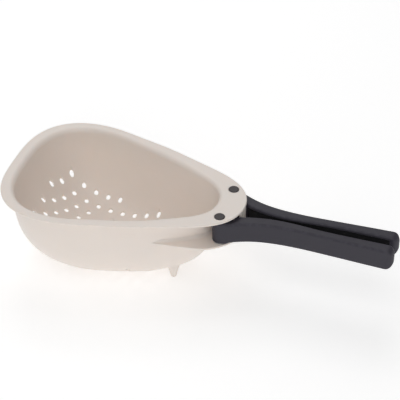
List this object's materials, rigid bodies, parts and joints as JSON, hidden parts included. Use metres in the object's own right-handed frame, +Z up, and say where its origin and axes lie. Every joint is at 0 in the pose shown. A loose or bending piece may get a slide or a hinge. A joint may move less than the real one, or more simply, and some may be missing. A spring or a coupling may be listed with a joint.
{
  "type": "colander",
  "caption": "Pear-shaped perforated bowl on short feet, with two slim folding handles that point back side by side and swing out round the bowl under its rim.",
  "frame": {"origin": "on the ground, in the middle of the footprint's box", "axes": "+X back along the handles, +Y to the right handle's side, +Z up"},
  "size_m": [0.4054, 0.1692, 0.0945],
  "materials": {
    "bowl_plastic": "satin warm beige moulded plastic",
    "handle_plastic": "matt charcoal moulded plastic",
    "pin_plastic": "matt dark grey moulded plastic",
    "washer_plastic": "natural white plastic",
    "screw_steel": "plain stainless steel"
  },
  "bodies": {
    "bowl": {"bowl": "bowl_plastic", "left_pivot_pin": "pin_plastic", "left_upper_washer": "washer_plastic", "left_lower_washer": "washer_plastic", "left_retaining_screw": "screw_steel", "right_pivot_pin": "pin_plastic", "right_upper_washer": "washer_plastic", "right_lower_washer": "washer_plastic", "right_retaining_screw": "screw_steel"},
    "left_handle": {"left_handle_shell": "handle_plastic", "left_handle_cover": "handle_plastic"},
    "right_handle": {"right_handle_shell": "handle_plastic", "right_handle_cover": "handle_plastic"}
  },
  "joints": [
    {"name": "left_handle_fold", "type": "hinge", "parent": "bowl", "child": "left_handle", "pos_m": [0.0283, -0.0231, 0.0772], "axis": [0, 0, -1], "range_deg": [0, 160]},
    {"name": "right_handle_fold", "type": "hinge", "parent": "bowl", "child": "right_handle", "pos_m": [0.0283, 0.0231, 0.0772], "axis": [0, 0, 1], "range_deg": [0, 160]}
  ]
}
